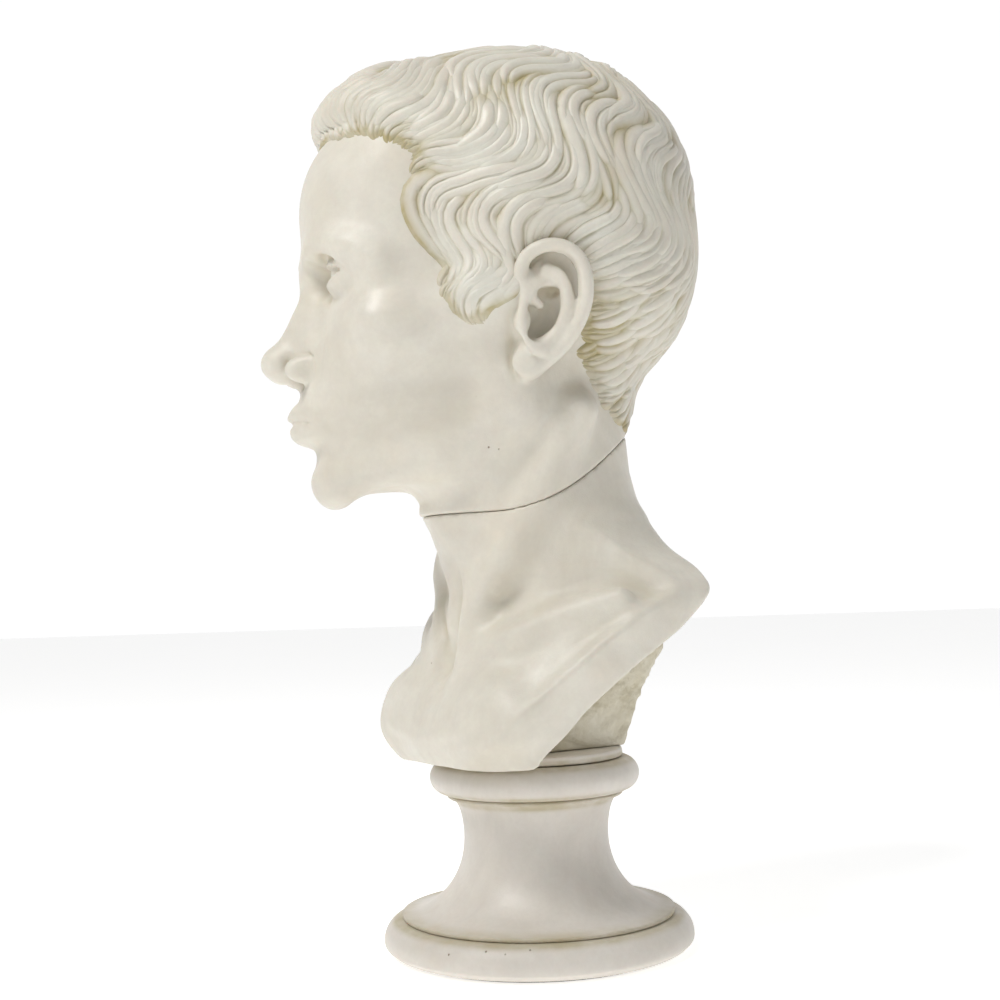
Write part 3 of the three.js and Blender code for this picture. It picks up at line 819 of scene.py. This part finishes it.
def model_pillar_clay(cell):
    """The support behind the chest, left from the claw chisel."""
    clay = Clay((-62, -62, BUST_FOOT - 2), (72, 84, BUST_FOOT + 100), cell, CHEST_TURN, BUST_FOOT)
    z = clay.z
    sides = np.abs(clay.x) - np.interp(z.ravel(), *PILLAR_SIDES)[None, None, :]
    back = (clay.y - np.interp(z.ravel(), *PILLAR_REAR)[None, None, :]) * 0.9
    front = (0.85 * z - 52 - clay.y) * 0.76
    field = soft_max(soft_max(sides, back, 3), front, 3)
    field = soft_max(field, -z - 0.15, 0.5)
    clay.field = soft_max(field, z - PILLAR_HEIGHT, 3).astype(np.float32)
    rng = np.random.default_rng(5)
    for _ in range(CHISEL_CUTS):
        up = rng.uniform(2, 82)
        width = np.interp(up, *PILLAR_SIDES)
        deep = np.interp(up, *PILLAR_REAR)
        lean = rng.normal(0.9, 0.25)
        reach = rng.uniform(4, 10)
        if rng.random() < 0.62:
            side = rng.choice((-1, 1))
            start = np.array((side * (width + 0.7), rng.uniform(-10, deep - 2), up))
            step = np.array((0, math.cos(lean), math.sin(lean))) * reach
        else:
            start = np.array((rng.uniform(-width, width), deep + 0.7, up))
            step = np.array((math.cos(lean), 0.35 * math.sin(lean), math.sin(lean))) * reach
        clay.cut(rope([start, start + step], rng.uniform(1.0, 1.7)), 1.0)
    return clay


# ---------- socle ----------
BASE_TOP, STEM_TOP, COLLAR_TOP = 17.5, 79.0, 95.5
DISC_BOTTOM, DISC_TOP = 96.0, 100.2
BORE = 5.5  # radius of the tie rod's hole
STEPS_ROUND = 192


def arc(r, z, radius_r, radius_z, start, stop, steps):
    """Points of (radius, height) on part of an ellipse, its angles in degrees from the level."""
    angles = np.radians(np.linspace(start, stop, steps + 1))
    return [(r + radius_r * math.cos(a), z + radius_z * math.sin(a)) for a in angles]


def turning_tree(material):
    """Geometry nodes that turn a flat outline about Z: its x is out from the axis, its y is height."""
    tree = bpy.data.node_groups.new("turning", "GeometryNodeTree")
    face = tree.interface
    face.new_socket("Outline", in_out="INPUT", socket_type="NodeSocketGeometry")
    steps = face.new_socket("Steps Round", in_out="INPUT", socket_type="NodeSocketInt")
    face.new_socket("Turned", in_out="OUTPUT", socket_type="NodeSocketGeometry")
    kinds = ("NodeGroupInput", "GeometryNodeMeshToCurve", "GeometryNodeCurvePrimitiveCircle",
             "GeometryNodeCurveToMesh", "GeometryNodeSetShadeSmooth", "GeometryNodeRealizeInstances",
             "GeometryNodeSetMaterial", "NodeGroupOutput")
    source, outline, circle, sweep, smooth, real, paint, result = map(tree.nodes.new, kinds)
    circle.inputs["Radius"].default_value = 1.0
    paint.inputs["Material"].default_value = material
    for giver, given, taker, taken in ((source, "Outline", outline, "Mesh"),
                                       (source, "Steps Round", circle, "Resolution"),
                                       (circle, "Curve", sweep, "Curve"),
                                       (outline, "Curve", sweep, "Profile Curve"),
                                       (sweep, "Mesh", smooth, "Geometry"),
                                       (smooth, "Geometry", real, "Geometry"),
                                       (real, "Geometry", paint, "Geometry"),
                                       (paint, "Geometry", result, "Turned")):
        tree.links.new(giver.outputs[given], taker.inputs[taken])
    return tree, steps.identifier


def turned_piece(name, outline, turning, body, material, node, joints):
    """A solid of revolution from a closed outline of (radius, height). joints are the heights of
    the seams beside it, where dirt settles."""
    tree, steps_socket = turning
    outline = [a for a, b in zip(outline, outline[-1:] + outline) if math.dist(a, b) > 0.05]
    count = len(outline)
    flat = bpy.data.meshes.new(name)
    # the sweep draws the outline's x inwards from the unit circle, and its y downwards
    flat.from_pydata([(r * MM - 1, -z * MM, 0) for r, z in outline],
                     [(i, (i + 1) % count) for i in range(count)], [])
    item = bpy.data.objects.new(name, flat)
    bpy.context.scene.collection.objects.link(item)
    modifier = item.modifiers.new("turning", "NODES")
    modifier.node_group = tree
    modifier[steps_socket] = STEPS_ROUND
    graph = bpy.context.evaluated_depsgraph_get()
    mesh = bpy.data.meshes.new_from_object(item.evaluated_get(graph))
    item.modifiers.clear()
    item.data = mesh
    points = np.empty(len(mesh.vertices) * 3)
    mesh.vertices.foreach_get("co", points)
    points = points.reshape(-1, 3)
    faces = np.array([tuple(face.vertices) for face in mesh.polygons])
    if outward(points, faces) is not faces:
        mesh.flip_normals()
    height = points[:, 2] / MM
    dirt = sum(np.exp(-((height - joint) / 2.2) ** 2) for joint in joints)
    mark_hollows(mesh, dirt)
    if not mesh.materials:
        mesh.materials.append(material)
    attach(item, body)
    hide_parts(node)


def make_socle(material):
    turning = turning_tree(material)
    base = [(BORE, 19.5), (BORE, 27.5), (30, 27.5), (30, 17.6), (66, BASE_TOP), (68.8, BASE_TOP)]
    base += [(69.5, 17.25)]
    base += arc(69.6, 6.6, 9.2, 10.6, 84, 0, 22)
    base += arc(77.3, 6.2, 1.5, 2.6, -8, -80, 6)
    base += [(75.8, 1.9), (75.2, 1.55), (70, 1.5), (19, 1.5), (19, 19.5)]
    turned_piece("turned_base", base, turning, "socle", material, "socle_base", (18.2,))
    waist = BASE_TOP + 39.6
    ring = STEM_TOP - 1.2
    stem = [(BORE, 27.9), (30.4, 27.9), (30.4, 17.8), (68.9, 17.8), (69.3, 18.0), (69.4, 19.2)]
    stem += arc(69.2, waist, 32.3, waist - 19.8, 270, 180, 34)
    stem += arc(43.6, waist, 6.7, ring - 1.0 - waist, 180, 92, 16)
    stem += arc(43.7, ring, 1.3, 1.1, -80, 80, 8)
    stem += [(22, STEM_TOP), (22, STEM_TOP + 6), (BORE, STEM_TOP + 6)]
    joints = (17.6, STEM_TOP - 2.6, STEM_TOP)
    turned_piece("turned_stem", stem, turning, "socle", material, "socle_stem", joints)
    low = STEM_TOP + 0.3
    half = (COLLAR_TOP - low) / 2
    collar = [(BORE, STEM_TOP + 6.4), (22.4, STEM_TOP + 6.4), (22.4, low), (44.0, low)]
    collar += arc(53.7 - half, low + half, half, half, -84, 84, 30)
    collar += [(45.2, COLLAR_TOP), (27.4, COLLAR_TOP), (27.4, 94.6), (BORE, 94.6)]
    turned_piece("turned_collar", collar, turning, "socle", material, "socle_collar", (low, 95.8))
    disc = [(BORE, DISC_BOTTOM), (BORE, DISC_TOP)]
    disc += arc(44.2, DISC_TOP - 1.6, 1.3, 1.6, 90, 0, 6)
    disc += arc(44.4, DISC_BOTTOM + 1.1, 1.1, 1.1, 0, -90, 5)
    turned_piece("turned_disc", disc, turning, "bust", material, "top_disc", (96.2,))


# ---------- materials ----------
class Shader:
    """A small helper for drawing a node material."""

    def __init__(self, name):
        self.material = bpy.data.materials.new(name)
        self.material.use_nodes = True
        self.tree = self.material.node_tree
        self.skin = self.tree.nodes["Principled BSDF"]
        self.place = self.node("ShaderNodeTexCoord").outputs["Object"]

    def feed(self, socket, value):
        """Sets a socket, or links it where the value is another node's output."""
        if isinstance(value, bpy.types.NodeSocket):
            self.tree.links.new(value, socket)
        else:
            socket.default_value = value

    def node(self, kind, links=(), **values):
        made = self.tree.nodes.new(kind)
        for key, value in values.items():
            setattr(made, key, value)
        for socket, value in dict(links).items():
            self.feed(made.inputs[socket], value)
        return made

    def noise(self, scale, detail=3.0, rough=0.5, distortion=0.0, stretch=None):
        place = self.place
        if stretch:
            place = self.node("ShaderNodeMapping", {"Vector": place, "Scale": stretch}).outputs[0]
        return self.node("ShaderNodeTexNoise", {"Vector": place, "Scale": scale, "Detail": detail,
                                                "Roughness": rough, "Distortion": distortion}).outputs[0]

    def spots(self, scale):
        return self.node("ShaderNodeTexVoronoi", {"Vector": self.place, "Scale": scale}).outputs["Distance"]

    def hollow(self):
        return self.node("ShaderNodeAttribute", attribute_name="hollow").outputs["Fac"]

    def ramp(self, value, low, high, to_low=0.0, to_high=1.0):
        return self.node("ShaderNodeMapRange", {"Value": value, "From Min": low, "From Max": high,
                                                "To Min": to_low, "To Max": to_high}).outputs[0]

    def math(self, operation, a, b):
        made = self.tree.nodes.new("ShaderNodeMath")
        made.operation = operation
        for socket, value in zip(made.inputs, (a, b)):
            self.feed(socket, value)
        return made.outputs[0]

    def blend(self, share, a, b):
        made = self.tree.nodes.new("ShaderNodeMix")
        made.data_type = "RGBA"
        for socket, value in ((0, share), (6, a), (7, b)):
            self.feed(made.inputs[socket], value)
        return made.outputs[2]

    def finish(self, colour, roughness, bumps, **fixed):
        """bumps are (height, depth in metres), laid over each other."""
        self.tree.links.new(colour, self.skin.inputs["Base Color"])
        self.tree.links.new(roughness, self.skin.inputs["Roughness"])
        normal = None
        for height, depth in bumps:
            links = {"Height": height, "Distance": depth, "Strength": 1.0}
            if normal:
                links["Normal"] = normal
            normal = self.node("ShaderNodeBump", links).outputs[0]
        self.tree.links.new(normal, self.skin.inputs["Normal"])
        for name, value in fixed.items():
            self.skin.inputs[name.replace("_", " ")].default_value = value
        return self.material


def shade(red, green, blue):
    """A colour given as it looks on a screen, from 0 to 255."""
    def linear(value):
        value = value / 255
        return value / 12.92 if value <= 0.04045 else ((value + 0.055) / 1.055) ** 2.4
    return (linear(red), linear(green), linear(blue), 1.0)


def polished_marble(name, clean, clouded, patina_share):
    """Old white marble: cloudy, with faint grey veins, tiny pits and olive dirt in its hollows."""
    s = Shader(name)
    clouds = s.ramp(s.noise(13, 5, 0.62, 0.6), 0.36, 0.66)
    colour = s.blend(clouds, clean, clouded)
    veins = s.math("ABSOLUTE", s.math("SUBTRACT", s.noise(8, 4, 0.55, 0.9), 0.5), 0.0)
    faint = s.ramp(veins, 0.0, 0.03, 0.10, 0.0)
    colour = s.blend(faint, colour, shade(196, 192, 188))
    warm = s.ramp(s.noise(26, 4, 0.6), 0.56, 0.8, 0.0, 0.35)
    colour = s.blend(warm, colour, shade(222, 206, 186))
    dirt = s.hollow()
    patchy = s.ramp(s.noise(34, 4, 0.65), 0.36, 0.62, 0.3, 1.0)
    patina = s.math("MULTIPLY", s.ramp(dirt, 0.06, 0.52, 0.0, patina_share), patchy)
    colour = s.blend(patina, colour, shade(172, 160, 116))
    mottle = s.ramp(s.noise(90, 4, 0.7), 0.35, 0.68, 0.0, 0.22)
    colour = s.blend(mottle, colour, shade(198, 188, 180))
    pit_field = s.math("MULTIPLY", s.ramp(s.spots(150), 0.05, 0.09, 1.0, 0.0),
                      s.ramp(s.noise(22, 2, 0.5), 0.64, 0.7))
    colour = s.blend(s.math("MULTIPLY", pit_field, 0.7), colour, shade(128, 104, 74))
    speckle = s.ramp(s.noise(420, 2, 0.6), 0.3, 0.7, 0.0, 0.10)
    colour = s.blend(speckle, colour, shade(190, 184, 172))
    roughness = s.ramp(s.noise(30, 4, 0.6), 0.3, 0.7, 0.36, 0.56)
    roughness = s.math("ADD", roughness, s.math("MULTIPLY", patina, 0.25))
    waves = s.noise(70, 3, 0.5)
    grains = s.noise(1500, 2, 0.6)
    return s.finish(colour, roughness,
                    [(waves, 0.0004), (grains, 0.00008), (s.math("MULTIPLY", pit_field, -1.0), 0.0006)],
                    Subsurface_Weight=0.06, Subsurface_Scale=0.002, IOR=1.5)


def tooled_marble():
    """The support behind the chest, left from the chisel and never washed."""
    s = Shader("marble_tooled")
    clouds = s.ramp(s.noise(24, 5, 0.65, 0.4), 0.34, 0.68)
    colour = s.blend(clouds, shade(226, 221, 206), shade(204, 196, 172))
    dirt = s.hollow()
    smudge = s.math("MULTIPLY", s.ramp(s.noise(34, 5, 0.7, 0.5, (1, 1, 2.2)), 0.5, 0.72), 0.8)
    colour = s.blend(smudge, colour, shade(172, 163, 136))
    colour = s.blend(s.ramp(dirt, 0.1, 0.6, 0.0, 0.6), colour, shade(150, 138, 104))
    roughness = s.ramp(s.noise(120, 3, 0.6), 0.3, 0.7, 0.66, 0.9)
    return s.finish(colour, roughness, [(s.noise(260, 4, 0.7), 0.0009), (s.noise(900, 2, 0.6), 0.0002)],
                    IOR=1.5)


def felt_finish():
    s = Shader("felt")
    fibres = s.noise(2200, 3, 0.7, 1.2)
    tufts = s.noise(240, 4, 0.7)
    colour = s.blend(s.ramp(fibres, 0.3, 0.7), shade(34, 46, 36), shade(62, 78, 62))
    colour = s.blend(s.ramp(tufts, 0.4, 0.75, 0.0, 0.5), colour, shade(78, 88, 74))
    return s.finish(colour, s.ramp(tufts, 0.3, 0.7, 0.88, 1.0), [(tufts, 0.0004), (fibres, 0.0003)],
                    Sheen_Weight=0.5)


def nylon_finish():
    s = Shader("nylon")
    colour = s.blend(s.ramp(s.noise(60, 3, 0.6), 0.3, 0.7), shade(232, 230, 220), shade(214, 210, 196))
    rings = s.noise(500, 2, 0.5, 0.0, (0.2, 0.2, 3.0))
    return s.finish(colour, s.ramp(rings, 0.3, 0.7, 0.42, 0.6), [(rings, 0.00005)],
                    Subsurface_Weight=0.2, Subsurface_Scale=0.002)


def metal_finish(name, clean, dull, stain):
    """Turned metal: fine rings round the rod, dulled and stained in places."""
    s = Shader(name)
    dulled = s.ramp(s.noise(90, 4, 0.65), 0.4, 0.7)
    colour = s.blend(dulled, clean, dull)
    stains = s.ramp(s.noise(320, 4, 0.7), 0.6, 0.74, 0.0, 0.55)
    colour = s.blend(stains, colour, stain)
    rings = s.noise(900, 2, 0.55, 0.0, (0.08, 0.08, 2.5))
    roughness = s.math("ADD", s.ramp(rings, 0.3, 0.7, 0.24, 0.42), s.math("MULTIPLY", stains, 0.3))
    return s.finish(colour, roughness, [(rings, 0.00004)], Metallic=1.0)


def dress_hardware():
    """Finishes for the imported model's own nodes."""
    steel = metal_finish("steel", shade(196, 198, 202), shade(150, 152, 156), shade(118, 92, 70))
    brass = metal_finish("brass", shade(206, 174, 104), shade(164, 134, 78), shade(98, 84, 56))
    finishes = {"felt_pad": felt_finish(), "swivel_washer": nylon_finish(), "rod_sleeve": brass}
    for name in ("tie_rod", "rod_washer", "rod_nut", "lock_nut", "neck_dowel"):
        finishes[name] = steel
    for name, finish in finishes.items():
        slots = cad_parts[name].material_slots
        for i in range(len(slots)):
            slots[i].material = finish


# ---------- the object ----------
def carve(clay):
    """The clay's surface, and how far each point of it lies in a hollow."""
    points, faces = clay.mesh()
    hollow = clay.sample(clay.hollowness(HOLLOW_REACH), points)
    return points, outward(points, faces), hollow


def make_head(marble):
    clay, scalp = model_head_clay(HEAD_CELL)
    bed = hair_bed(clay, scalp)
    clay.field = soft_min(clay.field, bed, 1.0)
    y = clay.columns()[1]
    over = (clay.axes[2] - BUST_FOOT)[None, None, :] - seam_height(y) - SEAM_GAP
    clay.field = soft_max(clay.field, -over, 0.4)
    points, faces, hollow = carve(clay)
    make_marble("marble_head", points, faces, marble, hollow, ("head",))
    smooth_bed = np.clip(bed, -12, 12)
    for axis in (0, 1, 2, 0, 1, 2):
        smooth_bed = box_mean(smooth_bed, 1, axis)
    build_hair(Surface(clay, smooth_bed), marble)


def make_chest(marble, tooled):
    points, faces, hollow = carve(model_chest_clay(CHEST_CELL))
    make_marble("marble_chest", points, faces, marble, hollow, ("chest",))
    points, faces, hollow = carve(model_pillar_clay(PILLAR_CELL))
    make_marble("marble_pillar", points, faces, tooled, hollow * 1.6, ("chest",))


def make_floor():
    s = Shader("studio_paper")
    colour = s.blend(s.noise(3, 2), shade(250, 250, 249), shade(253, 253, 253))
    paper = s.finish(colour, s.ramp(s.noise(40), 0, 1, 0.9, 1.0), [(s.noise(400), 0.00002)],
                     Emission_Color=(1, 1, 1, 1), Emission_Strength=0.5)
    mesh = bpy.data.meshes.new("floor")
    size = 6.0
    corners = [(-size, -size, GROUND), (size, -size, GROUND), (size, size, GROUND), (-size, size, GROUND)]
    mesh.from_pydata(corners, [], [(0, 1, 2, 3)])
    mesh.materials.append(paper)
    floor = bpy.data.objects.new("floor", mesh)
    bpy.context.scene.collection.objects.link(floor)


skin = polished_marble("marble", shade(226, 222, 210), shade(211, 205, 190), 1.0)
turned_skin = polished_marble("marble_turned", shade(226, 221, 213), shade(212, 206, 196), 0.7)
make_head(skin)
make_chest(skin, tooled_marble())
make_socle(turned_skin)
dress_hardware()
make_floor()
